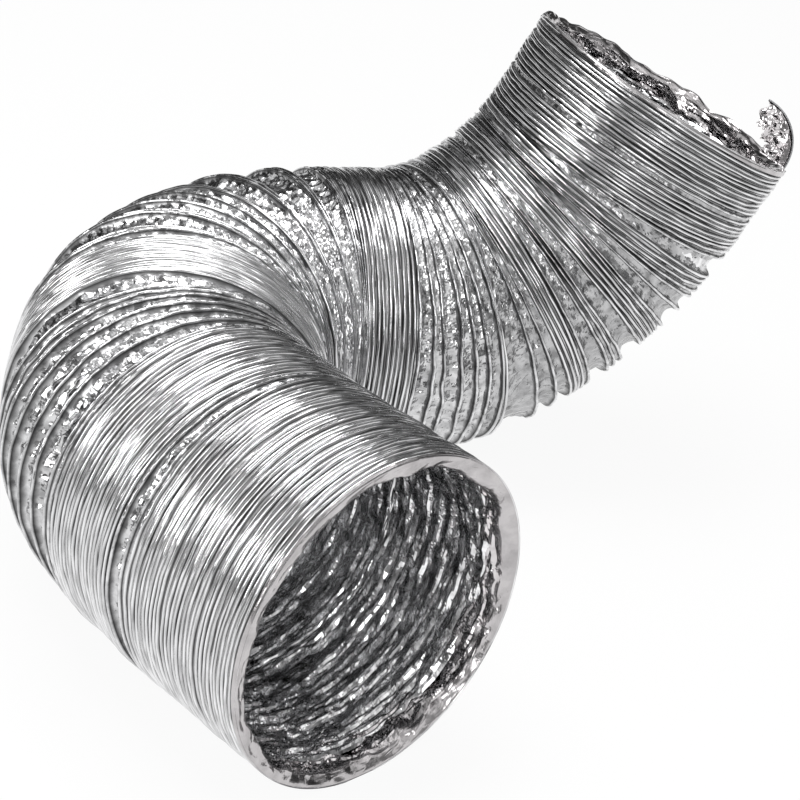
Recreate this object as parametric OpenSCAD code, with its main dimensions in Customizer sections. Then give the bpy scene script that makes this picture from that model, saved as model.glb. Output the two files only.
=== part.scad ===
// Flexible air duct: a spring-wire helix between two plies of aluminium foil.
// The turns lie packed together in short rigid packs. Between the packs the foil opens in pleats,
// and there the duct bends about the packed inner edge of the bend.
// The front mouth faces -Y with its centre at the origin, +Z is up, and the duct lies on z = floor_z.

/* [Duct] */
// Clear bore of the hemmed mouths, slips over a 150 mm spigot
bore_d = 150.6; // [98:0.2:320]
// Diameter of the spring-steel wire
wire_d = 1.0; // [0.8:0.1:1.4]
// Thickness of the folded inner foil ply
inner_ply_t = 0.6; // [0.4:0.1:1.5]
// Thickness of the outer foil ply between two turns of wire
outer_ply_t = 0.4; // [0.3:0.1:1.0]
// Height of the rib that each turn of wire raises in the outer ply
rib_h = 1.0; // [0.8:0.1:2.0]
// Spacing of the turns where they lie packed together
turn_pitch = 2.4; // [2.0:0.1:4.0]
// Play between the wire and each foil ply
play = 0.2; // [0.1:0.05:0.3]

/* [Turns in each pack] */
// Packed turns of the straight front leg
front_leg_turns = 31; // [10:1:50]
// Packed turns where the flat bend begins
bend_entry_turns = 19; // [4:1:30]
// Packed turns in the middle of the flat bend
bend_middle_turns = 16; // [4:1:30]
// Turns held together in the middle of the open fan
fan_turns = 2; // [2:1:8]
// Packed turns where the flat bend ends
bend_exit_turns = 11; // [4:1:30]
// Turns held together where the duct lifts off the floor
lift_turns = 2; // [2:1:8]
// Packed turns low in the rising bend
riser_lower_turns = 4; // [2:1:12]
// Packed turns in the middle of the rising bend
riser_middle_turns = 4; // [2:1:12]
// Packed turns high in the rising bend
riser_upper_turns = 3; // [2:1:12]
// Packed turns of the rear leg, below its loose pleat
rear_leg_turns = 9; // [4:1:30]
// Packed turns of the rear leg, at the rear mouth
rear_collar_turns = 11; // [6:1:30]

/* [Free turns in each pleat] */
// Free turns between the bend entry and the bend middle
first_fan_turns = 7; // [3:1:12]
// Free turns between the bend middle and the fan turns
second_fan_turns = 5; // [3:1:12]
// Free turns between the fan turns and the bend exit
third_fan_turns = 6; // [3:1:12]
// Free turns where the duct lifts off the floor
lift_pleat_turns = 4; // [2:1:8]
// Free turns between the lift turns and the lower riser
first_riser_turns = 3; // [2:1:8]
// Free turns between the lower and the middle riser
second_riser_turns = 4; // [2:1:8]
// Free turns between the middle and the upper riser
third_riser_turns = 2; // [2:1:8]

/* [Bends] */
// Turn to the right at the loose pleat of the front leg, degrees
entry_yaw = 4.5; // [1:0.5:8]
// Turn to the right between the bend entry and the bend middle, degrees
first_fan_yaw = 34; // [10:0.5:40]
// Turn to the right between the bend middle and the fan turns, degrees
second_fan_yaw = 39; // [10:0.5:45]
// Turn to the right between the fan turns and the bend exit, degrees
third_fan_yaw = 38.5; // [10:0.5:45]
// Turn back to the left where the duct lifts off the floor, degrees
lift_yaw = 10; // [0:0.5:15]
// Rise where the duct lifts off the floor, degrees
lift_rise = 13; // [5:0.5:20]
// Turn to the right between the lift turns and the lower riser, degrees
first_riser_yaw = 4.5; // [0:0.5:8]
// Rise between the lift turns and the lower riser, degrees
first_riser_rise = 20; // [5:0.5:25]
// Turn to the right between the lower and the middle riser, degrees
second_riser_yaw = 1.5; // [0:0.5:8]
// Rise between the lower and the middle riser, degrees
second_riser_rise = 12.5; // [3:0.5:20]
// Turn to the right between the middle and the upper riser, degrees
third_riser_yaw = 6; // [0:0.5:8]
// Rise between the middle and the upper riser, degrees
third_riser_rise = 13; // [3:0.5:20]
// Turn to the right between the upper riser and the rear leg, degrees
rear_yaw = 1; // [0:0.5:5]
// Rise between the upper riser and the rear leg, degrees
rear_rise = 6.5; // [2:0.5:10]

/* [Pleats] */
// Spacing of two free turns at the packed inner edge of a bend
inner_pitch = 2.0; // [1.6:0.1:4.0]
// How far the inner edge of a bend stands off the ribs, where the foil is gathered
gather = 1.5; // [1:0.1:3]
// Wall of the two bonded plies in an open pleat
pleat_t = 0.4; // [0.3:0.05:0.5]
// How far the foil sags below the packed grooves on the open side of a bend
pleat_sag = 1.2; // [0.4:0.1:3.0]
// Gap of the loose pleat in the straight rear leg
rear_gap = 2.8; // [2.0:0.1:12]
// Gap between a pleat and the packs it joins
end_gap = 0.3; // [0.2:0.05:0.5]

/* [Mouths] */
// Depth of the flat hem inside each mouth
hem_w = 10; // [6:0.5:16]
// Thickness of the foil lip folded over the end turn
lip_t = 0.6; // [0.4:0.1:1.2]
// Length of the loose strip at the rear mouth
tail_l = 42; // [20:1:60]
// Width of the loose strip at the rear mouth
tail_w = 11; // [6:1:16]
// Thickness of the loose strip
tail_t = 0.5; // [0.4:0.1:1.0]
// Radius of the wire's curl at the outer edge of the loose strip
tail_curl_r = 26; // [20:1:60]
// How far the loose strip first leans outward, degrees
tail_lean = 0; // [0:1:30]
// Where the loose strip leaves the rear rim, degrees from its right-hand side towards its underside
tail_at = 62; // [0:1:359]

/* [Floor] */
// Depth of the flat where the ribs rest on the floor
foot_flat = 0.5; // [0.3:0.1:0.8]

/* [Hidden] */
PACKS = ["front_leg", "bend_entry", "bend_middle", "fan", "bend_exit", "lift",
         "riser_lower", "riser_middle", "riser_upper", "rear_leg", "rear_collar"];

// bare foil, foil in the pleats, foil of the hems, spring steel
foil_colour = "gainsboro";
pleat_colour = "lightgray";
hem_colour = "whitesmoke";
wire_colour = "slategray";

// radii of the stack, from the bore outward
bore_r = bore_d / 2;
inner_ply_r = bore_r + inner_ply_t;
wire_r = inner_ply_r + play + wire_d / 2;
sleeve_r = wire_r + wire_d / 2 + play;
groove_r = sleeve_r + outer_ply_t;
crest_r = groove_r + rib_h;
pivot_r = crest_r + gather;
floor_z = foot_flat - crest_r;
// a rib from its groove on, as radius and share of the pitch
rib = [[groove_r, 0], [crest_r, 0.25], [crest_r, 0.75]];
// facets
around = 96;
wire_sides = 16;
coil_sides = 6;
pleat_sides = 20;
plain_sides = 24;
row_step = 0.05;
grid = 0.002;
floor_cut = 20 * crest_r;

pack_turns = [front_leg_turns, bend_entry_turns, bend_middle_turns, fan_turns, bend_exit_turns,
              lift_turns, riser_lower_turns, riser_middle_turns, riser_upper_turns,
              rear_leg_turns, rear_collar_turns];
// each zone between two packs: turn to the right, rise, free turns of wire
zones = [[entry_yaw, 0, 0],
         [first_fan_yaw, 0, first_fan_turns],
         [second_fan_yaw, 0, second_fan_turns],
         [third_fan_yaw, 0, third_fan_turns],
         [-lift_yaw, lift_rise, lift_pleat_turns],
         [first_riser_yaw, first_riser_rise, first_riser_turns],
         [second_riser_yaw, second_riser_rise, second_riser_turns],
         [third_riser_yaw, third_riser_rise, third_riser_turns],
         [rear_yaw, rear_rise, 0],
         [0, 0, 0]];
last_pack = len(PACKS) - 1;

// directions of a duct that heads h degrees right of +Y and rises e degrees
function travel(h, e) = [sin(h) * cos(e), cos(h) * cos(e), sin(e)];
function right_of(h) = [cos(h), -sin(h), 0];
// v turned by angle a about the unit vector n
function turned(v, n, a) = v * cos(a) + cross(n, v) * sin(a) + n * (n * v) * (1 - cos(a));

// heading, rise, length and direction of each pack
heads = [for (i = 0, h = 0; i <= last_pack; h = h + (i < last_pack ? zones[i][0] : 0), i = i + 1) h];
rises = [for (i = 0, e = 0; i <= last_pack; e = e + (i < last_pack ? zones[i][1] : 0), i = i + 1) e];
lengths = [for (n = pack_turns) n * turn_pitch];
ways = [for (i = [0 : last_pack]) travel(heads[i], rises[i])];

// zone i joins pack i to pack i + 1 along an arc about the unit vector axes[i]
crosses = [for (i = [0 : last_pack - 1]) cross(ways[i], ways[i + 1])];
angles = [for (c = crosses) asin(norm(c))];
axes = [for (i = [0 : last_pack - 1]) angles[i] > 0 ? crosses[i] / norm(crosses[i]) : right_of(heads[i])];
spans = [for (i = [0 : last_pack - 1]) angles[i] > 0
    ? angles[i] * PI / 180 * pivot_r + (zones[i][2] + 1) * inner_pitch : rear_gap];
// from the start to the end of zone i on the centre line
steps = [for (i = [0 : last_pack - 1]) angles[i] > 0
    ? (ways[i] + ways[i + 1]) * spans[i] / (angles[i] * PI / 180) * tan(angles[i] / 2)
    : ways[i] * spans[i]];
// where each pack starts on the centre line
starts = [for (i = 0, p = [0, lip_t + play, 0]; i <= last_pack;
    p = p + ways[i] * lengths[i] + (i < last_pack ? steps[i] : [0, 0, 0]), i = i + 1) p];

// A zone's own frame: +X to the open side of its bend, +Y along the duct where the zone starts,
// +Z along the bend's axis. These give its centre line and its open side there at share u.
function zone_centre(i, u) = angles[i] > 0
    ? [cos(angles[i] * u) - 1, sin(angles[i] * u), 0] * spans[i] / (angles[i] * PI / 180)
    : [0, spans[i] * u, 0];
function zone_out(i, u) = [cos(angles[i] * u), sin(angles[i] * u), 0];
// half a turn about zone i from share u on the open side to share v on the packed side
function half_mid(i, u, v, r) =
    (zone_centre(i, u) + zone_centre(i, v) + (zone_out(i, u) - zone_out(i, v)) * r) / 2;
function half_arm(i, u, v, r) =
    (zone_centre(i, u) - zone_centre(i, v) + (zone_out(i, u) + zone_out(i, v)) * r) / 2;
function half_point(i, u, v, r, a) =
    half_mid(i, u, v, r) + half_arm(i, u, v, r) * cos(a) - [0, 0, norm(half_arm(i, u, v, r)) * sin(a)];
// a point of zone i's own frame in the frame of the part
function zone_point(i, p) =
    starts[i] + ways[i] * (lengths[i] + p[1]) + cross(ways[i], axes[i]) * p[0] + axes[i] * p[2];
function above_floor(p) = [p[0], p[1], max(p[2], floor_z)];

// children's +X along x and +Y along y, from point p
module facing(p, x, y) {
    translate(p) rotate([atan2(y[2], cross(x, y)[2]), -asin(x[2]), atan2(x[1], x[0])]) children();
}

// pack i's own frame: +Z along the duct, +X to its right
module at_pack(i) {
    translate(starts[i]) rotate([rises[i] - 90, 0, -heads[i]]) children();
}

module cut_at_floor() {
    difference() {
        children();
        translate([0, 0, floor_z - floor_cut / 2]) cube(floor_cut, center = true);
    }
}

module ring(inner_r, outer_r, h) {
    difference() {
        cylinder(r = outer_r, h = h, $fn = around);
        translate([0, 0, -1]) cylinder(r = inner_r, h = h + 2, $fn = around);
    }
}

// outer ply of a pack: smooth inside, a rib over each turn of wire
module outer_foil(i) {
    ribs = [for (k = [0 : pack_turns[i] - 1], p = rib) [p[0], (k + p[1]) * turn_pitch]];
    color(foil_colour)
        cut_at_floor()
            at_pack(i)
                rotate_extrude($fn = around)
                    polygon(concat([[sleeve_r, 0]], ribs, [[groove_r, lengths[i]], [sleeve_r, lengths[i]]]));
}

// inner ply of a pack, shorter where a hem takes its place
module inner_foil(i) {
    front = i == 0 ? hem_w - lip_t : 0;
    back = i == last_pack ? hem_w - lip_t : 0;
    color(foil_colour)
        at_pack(i)
            translate([0, 0, front]) ring(bore_r, inner_ply_r, lengths[i] - front - back);
}

// half a turn of wire in the X-Y plane, from +X over +Y to -X
module half_turn(r) {
    rotate_extrude(angle = 180, $fn = around)
        translate([r, 0]) circle(d = wire_d, $fn = coil_sides);
}

// wire of a pack: half turns end to end, each tilted to climb half a pitch
module pack_wire(i) {
    climb = turn_pitch / 2;
    color(wire_colour)
        at_pack(i)
            for (k = [0 : 2 * pack_turns[i] - 3])
                translate([0, 0, (k + 1.5) * climb])
                    rotate([0, 0, 180 * (k % 2)])
                        rotate([0, atan(climb / 2 / wire_r), 0])
                            half_turn(norm([wire_r, climb / 2]));
}

// free turns of zone i: half turns end to end, over one side of the bend and back under the other;
// their ends are rounded to the grid, so that two neighbours share one end face
module free_wire(i) {
    pitches = zones[i][2] + 1;
    function end_at(u, way) = grid * [for (v = zone_centre(i, u) + way * zone_out(i, u) * wire_r) round(v / grid)];
    color(wire_colour)
        facing(zone_point(i, [0, 0, 0]), cross(ways[i], axes[i]), ways[i])
            for (k = [0 : zones[i][2]], side = [-1, 1])
                if (side < 0 ? k > 0 : k < zones[i][2]) {
                    outer = end_at((side < 0 ? k : k + 1) / pitches, 1);
                    inner = end_at((k + 0.5) / pitches, -1);
                    arm = (outer - inner) / 2;
                    facing((outer + inner) / 2, arm / norm(arm), [0, 0, side]) half_turn(norm(arm));
                }
}

// two triangles over a four-cornered face
function quad(a, b, c, d) = [[a, c, b], [a, d, c]];

// bonded plies of zone i over its free turns: rows of points that climb with the wire, so that row
// m + 2 goes on where row m ends after one turn; even rows ride over the wire, odd rows sag
module coil_pleat(i) {
    turns = zones[i][2];
    last = 2 * turns + 4;
    s = pleat_sides;
    // share of the zone that row m reaches at q turns, held off both ends in row order
    function share(m, q) = max((end_gap + row_step * m) / spans[i],
                               min(1 - (end_gap + row_step * (last - m)) / spans[i], q / (turns + 1)));
    function valley(a) = crest_r - rib_h / 10 - (rib_h * 9 / 10 + pleat_sag) * (1 + cos(a)) / 2;
    function radius(m, q, a) = m == 0 || m == last || q <= 0 || q >= turns + 1 ? groove_r
        : m % 2 == 0 ? crest_r : valley(a);
    function row_point(m, k, t) =
        let (a = 360 * k / s,
             q = m == 0 ? -2 : m == last ? turns + 3 : m / 2 - 1,
             outer = a < 180 ? q : q + 1,
             r = radius(m, q + a / 360, a) - t)
        above_floor(zone_point(i, half_point(i, share(m, outer), share(m, q + 0.5), r, a)));
    function at(layer, m, k) = (layer * (last + 1) + m) * s + k;
    function skin(g) = concat(
        [for (m = [0 : last - 1], k = [0 : s - 2])
            each quad(at(g, m, k), at(g, m + 1, k), at(g, m + 1, k + 1), at(g, m, k + 1))],
        [for (m = [0 : last - 3])
            each quad(at(g, m, s - 1), at(g, m + 1, s - 1), at(g, m + 3, 0), at(g, m + 2, 0))],
        [[at(g, 0, s - 1), at(g, 0, 0), at(g, 1, 0)], [at(g, 0, s - 1), at(g, 1, 0), at(g, 2, 0)],
         [at(g, last - 2, s - 1), at(g, last, 0), at(g, last - 1, s - 1)],
         [at(g, last - 1, s - 1), at(g, last, 0), at(g, last, s - 1)]]);
    function cap(g, h, m) = [for (k = [0 : s - 1])
        each quad(at(g, m, k), at(h, m, k), at(h, m, (k + 1) % s), at(g, m, (k + 1) % s))];
    color(pleat_colour)
        polyhedron(
            points = [for (t = [0, pleat_t], m = [0 : last], k = [0 : s - 1]) row_point(m, k, t)],
            faces = concat(skin(0), [for (f = skin(1)) [f[0], f[2], f[1]]], cap(0, 1, last), cap(1, 0, 0)));
}

// bonded plies of a zone with no free turn: one shallow sag between two packs
module plain_pleat(i) {
    s = plain_sides;
    shares = [end_gap / spans[i], 0.5, 1 - end_gap / spans[i]];
    radii = [groove_r, crest_r, groove_r];
    function row(j, t) = [for (k = [0 : s - 1])
        above_floor(zone_point(i, half_point(i, shares[j], shares[j], radii[j] - t, 360 * k / s)))];
    rows = [row(0, 0), row(1, 0), row(2, 0), row(2, pleat_t), row(1, pleat_t), row(0, pleat_t)];
    function at(j, k) = (j % 6) * s + k % s;
    color(pleat_colour)
        polyhedron(
            points = [for (r = rows) each r],
            faces = [for (j = [0 : 5], k = [0 : s - 1])
                each quad(at(j, k), at(j + 1, k), at(j + 1, k + 1), at(j, k + 1))]);
}

// hem of a mouth: the inner ply doubled over, and a lip folded over the end turn
module hem() {
    color(hem_colour) {
        ring(bore_r, inner_ply_r, hem_w);
        ring(bore_r, -floor_z, lip_t);
    }
}

module front_hem() {
    rotate([-90, 0, 0]) hem();
}

module rear_hem() {
    at_pack(last_pack) translate([0, 0, lengths[last_pack] + play + lip_t]) mirror([0, 0, 1]) hem();
}

// frame of the loose strip: its curl lies in the X-Y plane about the origin
module at_tail() {
    at_pack(last_pack)
        rotate([0, 0, tail_at])
            translate([(wire_r + sleeve_r) / 2 - tail_curl_r * cos(tail_lean), 0,
                       lengths[last_pack] + lip_t + 2 * play + tail_curl_r * sin(tail_lean)])
                rotate([90, 0, 0]) rotate([0, 0, -tail_lean]) children();
}

// loose strip of foil, torn off where the last turn was cut; it curls in its own plane over the mouth
module tail_foil() {
    color(hem_colour)
        at_tail()
            rotate_extrude(angle = tail_l / tail_curl_r * 180 / PI, $fn = around)
                translate([tail_curl_r - wire_d / 2 - play - tail_w, -tail_t / 2]) square([tail_w, tail_t]);
}

// bare end of the wire along the outer edge of the loose strip
module tail_wire() {
    color(wire_colour)
        at_tail()
            rotate_extrude(angle = tail_l / tail_curl_r * 180 / PI, $fn = around)
                translate([tail_curl_r, 0]) circle(d = wire_d, $fn = wire_sides);
}

module front_leg_outer_foil() {
    outer_foil(0);
}

module front_leg_inner_foil() {
    inner_foil(0);
}

module front_leg_wire() {
    pack_wire(0);
}

module bend_entry_outer_foil() {
    outer_foil(1);
}

module bend_entry_inner_foil() {
    inner_foil(1);
}

module bend_entry_wire() {
    pack_wire(1);
}

module bend_middle_outer_foil() {
    outer_foil(2);
}

module bend_middle_inner_foil() {
    inner_foil(2);
}

module bend_middle_wire() {
    pack_wire(2);
}

module fan_outer_foil() {
    outer_foil(3);
}

module fan_inner_foil() {
    inner_foil(3);
}

module fan_wire() {
    pack_wire(3);
}

module bend_exit_outer_foil() {
    outer_foil(4);
}

module bend_exit_inner_foil() {
    inner_foil(4);
}

module bend_exit_wire() {
    pack_wire(4);
}

module lift_outer_foil() {
    outer_foil(5);
}

module lift_inner_foil() {
    inner_foil(5);
}

module lift_wire() {
    pack_wire(5);
}

module riser_lower_outer_foil() {
    outer_foil(6);
}

module riser_lower_inner_foil() {
    inner_foil(6);
}

module riser_lower_wire() {
    pack_wire(6);
}

module riser_middle_outer_foil() {
    outer_foil(7);
}

module riser_middle_inner_foil() {
    inner_foil(7);
}

module riser_middle_wire() {
    pack_wire(7);
}

module riser_upper_outer_foil() {
    outer_foil(8);
}

module riser_upper_inner_foil() {
    inner_foil(8);
}

module riser_upper_wire() {
    pack_wire(8);
}

module rear_leg_outer_foil() {
    outer_foil(9);
}

module rear_leg_inner_foil() {
    inner_foil(9);
}

module rear_leg_wire() {
    pack_wire(9);
}

module rear_collar_outer_foil() {
    outer_foil(10);
}

module rear_collar_inner_foil() {
    inner_foil(10);
}

module rear_collar_wire() {
    pack_wire(10);
}

module entry_pleat() {
    plain_pleat(0);
}

module first_fan_pleat() {
    coil_pleat(1);
}

module second_fan_pleat() {
    coil_pleat(2);
}

module third_fan_pleat() {
    coil_pleat(3);
}

module lift_pleat() {
    coil_pleat(4);
}

module first_riser_pleat() {
    coil_pleat(5);
}

module second_riser_pleat() {
    coil_pleat(6);
}

module third_riser_pleat() {
    coil_pleat(7);
}

module rear_bend_pleat() {
    plain_pleat(8);
}

module rear_leg_pleat() {
    plain_pleat(9);
}

module first_fan_free_wire() {
    free_wire(1);
}

module second_fan_free_wire() {
    free_wire(2);
}

module third_fan_free_wire() {
    free_wire(3);
}

module lift_free_wire() {
    free_wire(4);
}

module first_riser_free_wire() {
    free_wire(5);
}

module second_riser_free_wire() {
    free_wire(6);
}

module third_riser_free_wire() {
    free_wire(7);
}

front_leg_outer_foil();
front_leg_inner_foil();
front_leg_wire();
bend_entry_outer_foil();
bend_entry_inner_foil();
bend_entry_wire();
bend_middle_outer_foil();
bend_middle_inner_foil();
bend_middle_wire();
fan_outer_foil();
fan_inner_foil();
fan_wire();
bend_exit_outer_foil();
bend_exit_inner_foil();
bend_exit_wire();
lift_outer_foil();
lift_inner_foil();
lift_wire();
riser_lower_outer_foil();
riser_lower_inner_foil();
riser_lower_wire();
riser_middle_outer_foil();
riser_middle_inner_foil();
riser_middle_wire();
riser_upper_outer_foil();
riser_upper_inner_foil();
riser_upper_wire();
rear_leg_outer_foil();
rear_leg_inner_foil();
rear_leg_wire();
rear_collar_outer_foil();
rear_collar_inner_foil();
rear_collar_wire();
entry_pleat();
first_fan_pleat();
second_fan_pleat();
third_fan_pleat();
lift_pleat();
first_riser_pleat();
second_riser_pleat();
third_riser_pleat();
rear_bend_pleat();
rear_leg_pleat();
first_fan_free_wire();
second_fan_free_wire();
third_fan_free_wire();
lift_free_wire();
first_riser_free_wire();
second_riser_free_wire();
third_riser_free_wire();
front_hem();
rear_hem();
tail_foil();
tail_wire();
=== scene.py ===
"""Looks of the flexible air duct: crumpled aluminium foil over a wire helix, bent into an S.

Every surface is laid out first along the straightened duct, as rows between the turns of wire, and
is then bent along the duct's centre line. Lengths here are in millimetres until a mesh is made.
"""

import math

import bpy
import numpy as np
from mathutils import Matrix, Vector


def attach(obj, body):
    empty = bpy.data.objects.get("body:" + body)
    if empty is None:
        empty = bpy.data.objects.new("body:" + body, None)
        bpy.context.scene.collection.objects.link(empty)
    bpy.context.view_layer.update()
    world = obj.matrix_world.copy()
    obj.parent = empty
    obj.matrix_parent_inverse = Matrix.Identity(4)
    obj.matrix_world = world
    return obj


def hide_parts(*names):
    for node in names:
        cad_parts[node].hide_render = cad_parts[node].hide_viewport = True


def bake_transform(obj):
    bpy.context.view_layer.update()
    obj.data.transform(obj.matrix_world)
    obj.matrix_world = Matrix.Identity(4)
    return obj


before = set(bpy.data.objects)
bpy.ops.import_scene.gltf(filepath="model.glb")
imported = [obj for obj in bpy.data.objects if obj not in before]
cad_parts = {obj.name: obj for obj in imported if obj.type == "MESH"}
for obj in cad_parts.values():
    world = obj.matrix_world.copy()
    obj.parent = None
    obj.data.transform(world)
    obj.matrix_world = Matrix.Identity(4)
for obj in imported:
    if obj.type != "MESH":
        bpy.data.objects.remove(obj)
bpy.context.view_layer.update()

MM = 0.001

# ---------------------------------------------------------------- the duct's sizes, as in the frame
CREST_R = 78.7
BORE_R = 75.3
PIVOT_R = 80.2
TURN_PITCH = 2.4
INNER_PITCH = 2.0
FLOOR_Z = -78.2
LIP = 0.8
REAR_GAP = 2.8
WIRE_THICK = 1.0
# packs of turns: body and number of turns
PACKS = [("front_leg", 31), ("bend_entry", 19), ("bend_middle", 16), ("fan", 2), ("bend_exit", 11),
         ("lift", 2), ("riser_lower", 4), ("riser_middle", 4), ("riser_upper", 3), ("rear_leg", 9),
         ("rear_collar", 11)]
# zones between them: name, turn to the right, rise, free turns
ZONES = [("entry", 4.5, 0, 0), ("first_fan", 34, 0, 7), ("second_fan", 39, 0, 5),
         ("third_fan", 38.5, 0, 6), ("lift", -10, 13, 4), ("first_riser", 4.5, 20, 3),
         ("second_riser", 1.5, 12.5, 4), ("third_riser", 6, 13, 2), ("rear_bend", 1, 6.5, 0),
         ("rear_leg", 0, 0, 0)]
FREE_WIRES = [zone for zone, _, _, free in ZONES if free > 0]


# ---------------------------------------------------------------- centre line
def turned(v, n, a):
    """v turned by the angles a about the unit vector n; one row for each angle."""
    a = np.asarray(a)[..., None]
    return v * np.cos(a) + np.cross(n, v) * np.sin(a) + n * (v @ n)[..., None] * (1 - np.cos(a))


def directions(heading, rise):
    """Right-hand side, travel and upward side of a duct with that heading and rise, in degrees."""
    h, e = math.radians(heading), math.radians(rise)
    side = np.array([math.cos(h), -math.sin(h), 0])
    way = np.array([math.sin(h) * math.cos(e), math.cos(h) * math.cos(e), math.sin(e)])
    return side, way, np.cross(side, way)


def centre_line():
    """Straight packs and round zones in order, each with its start, length, axes and bend."""
    parts, at, s, heading, rise = [], np.zeros(3), 0.0, 0.0, 0.0
    for i, (name, turns) in enumerate(PACKS):
        side, way, up = directions(heading, rise)
        length = turns * TURN_PITCH + (LIP if name in ("front_leg", "rear_collar") else 0)
        parts.append(dict(name=name, s=s, length=length, at=at, axes=(side, way, up), bend=0.0))
        at, s = at + way * length, s + length
        if i == len(ZONES):
            break
        zone, yaw, lift, free = ZONES[i]
        heading, rise = heading + yaw, rise + lift
        cross = np.cross(way, directions(heading, rise)[1])
        bend = math.asin(np.linalg.norm(cross))
        length = bend * PIVOT_R + (free + 1) * INNER_PITCH if bend > 0 else REAR_GAP
        part = dict(name=zone, s=s, length=length, at=at, axes=(side, way, up), bend=bend)
        if bend > 0:
            part["axis"] = cross / np.linalg.norm(cross)
            part["inward"] = np.cross(part["axis"], way)
            part["centre"] = at + part["inward"] * length / bend
            end = part["centre"] + turned(at - part["centre"], part["axis"], bend)
        else:
            end = at + way * length
        parts.append(part)
        at, s = end, s + length
    return parts, s


LINE, LENGTH = centre_line()
STARTS = np.array([p["s"] for p in LINE])


def part_at(s):
    """Which part of LINE each length s lies in."""
    return np.clip(np.searchsorted(STARTS, s, side="right") - 1, 0, len(LINE) - 1)


def bent(s, x, z):
    """Points in the row frame for places x right of and z above the centre line at length s."""
    s, x, z = np.broadcast_arrays(s, x, z)
    flat_s, flat_x, flat_z = s.ravel(), x.ravel(), z.ravel()
    which = part_at(flat_s)
    out = np.zeros((flat_s.size, 3))
    for i in np.unique(which):
        m, p = which == i, LINE[i]
        side, way, up = p["axes"]
        along = flat_s[m] - p["s"]
        across = flat_x[m, None] * side + flat_z[m, None] * up
        if p["bend"] > 0:
            arm = p["at"] - p["centre"] + across
            out[m] = p["centre"] + turned(arm, p["axis"], p["bend"] * along / p["length"])
        else:
            out[m] = p["at"] + along[:, None] * way + across
    return out.reshape(s.shape + (3,))


def openness(s, angle):
    """How much longer than the centre line the duct is at that angle round it."""
    s, angle = np.broadcast_arrays(s, angle)
    which = part_at(s)
    out = np.ones(s.shape)
    for i in np.unique(which):
        m, p = which == i, LINE[i]
        if p["bend"] > 0:
            side, _, up = p["axes"]
            inward = np.cos(angle[m]) * (p["inward"] @ side) + np.sin(angle[m]) * (p["inward"] @ up)
            out[m] = 1 - inward * CREST_R * p["bend"] / p["length"]
    return out


def round_angles(count):
    """That many equal angles round the duct, or round a wire."""
    return np.arange(count) * 2 * np.pi / count


COLUMNS = 448
ANGLES = round_angles(COLUMNS)


def toward(degrees):
    """1 at that angle round the duct, falling to 0 on the opposite side."""
    return 0.5 + 0.5 * np.cos(ANGLES - math.radians(degrees))


def widest(start, stop):
    """How much longer than the centre line the duct's outer side is, halfway from start to stop."""
    return float(np.max(openness(np.full(COLUMNS, (start + stop) / 2), ANGLES)))


# ---------------------------------------------------------------- noise round the duct
NOISE_BEFORE, NOISE_GAIN = 3, 1.5  # rows of cells before the duct's start; brings the noise to -1 to 1
FACETS_BEFORE, FACET_BEND = 4, 0.45  # the same for facets, and how far their creases wander, in cells


def cells_round(angle, around):
    """The angle counted in cells, `around` of them round the duct."""
    return (angle / (2 * np.pi) % 1.0) * around


def level_ended(f):
    """From 0 to 1, with level ends."""
    return f ** 3 * (f * (f * 6 - 15) + 10)


def noise(angle, s, around, step, seed):
    """Smooth noise from -1 to 1: `around` cells round the duct, cells `step` long along it."""
    gen = np.random.default_rng(seed)
    rows = int(LENGTH / step) + 8
    tilt = gen.random((around, rows)) * 2 * np.pi
    gx, gy = np.cos(tilt), np.sin(tilt)
    u = cells_round(angle, around)
    v = s / step + NOISE_BEFORE
    iu, iv = np.floor(u).astype(int), np.clip(np.floor(v).astype(int), 0, rows - 2)
    fu, fv = u - iu, v - iv
    su, sv = level_ended(fu), level_ended(fv)

    def corner(du, dv):
        """What the slope at one corner of the cell adds at the point."""
        a, b = (iu + du) % around, np.clip(iv + dv, 0, rows - 1)
        return gx[a, b] * (fu - du) + gy[a, b] * (fv - dv)

    low = corner(0, 0) * (1 - su) + corner(1, 0) * su
    high = corner(0, 1) * (1 - su) + corner(1, 1) * su
    return NOISE_GAIN * (low * (1 - sv) + high * sv)


def ring_noise(angle, at, around, seed, step=9.0):
    """Smooth noise round the duct that stays the same along it; `at` picks which."""
    return noise(angle, 0 * angle + at, around, step, seed)


def facets(angle, s, around, step, seed):
    """Flat facets that meet in creases, from 0 to 1: `around` of them round the duct, `step` long."""
    gen = np.random.default_rng(seed)
    rows = int(LENGTH / step) + 10
    height, flip = gen.random((around, rows)), gen.random((around, rows)) < 0.5
    bends = max(3, around // 2)
    u = cells_round(angle, around) + FACET_BEND * noise(angle, s, bends, 2 * step, seed + 50)
    v = s / step + FACETS_BEFORE + FACET_BEND * noise(angle, s, bends, 2 * step, seed + 60)
    iu, iv = np.floor(u).astype(int), np.clip(np.floor(v).astype(int), 0, rows - 2)
    fu, fv = u - iu, np.clip(v - iv, 0, 1)
    turn = flip[iu % around, iv]
    h = [[height[(iu + du) % around, iv + dv] for dv in (0, 1)] for du in (0, 1)]
    near = [np.where(turn, h[1][j], h[0][j]) for j in (0, 1)]
    far = [np.where(turn, h[0][j], h[1][j]) for j in (0, 1)]
    fu = np.where(turn, 1 - fu, fu)
    low = near[0] + fu * (far[0] - near[0]) + fv * (near[1] - near[0])
    high = far[1] + (1 - fu) * (near[1] - far[1]) + (1 - fv) * (far[0] - far[1])
    return np.where(fu + fv < 1, low, high)


# facets of crumpled foil: share of the depth, how many round the duct, length
CRUMPLE = [(0.40, 56, 7.5), (0.42, 130, 3.6), (0.18, 224, 2.3)]


def crumple(angle, s, seed, size):
    """Crumpled foil from 0 to 1: flat facets of three sizes with sharp creases between them."""
    return sum(share * facets(angle, s, int(around / size), step * size, seed + i)
               for i, (share, around, step) in enumerate(CRUMPLE))


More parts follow.
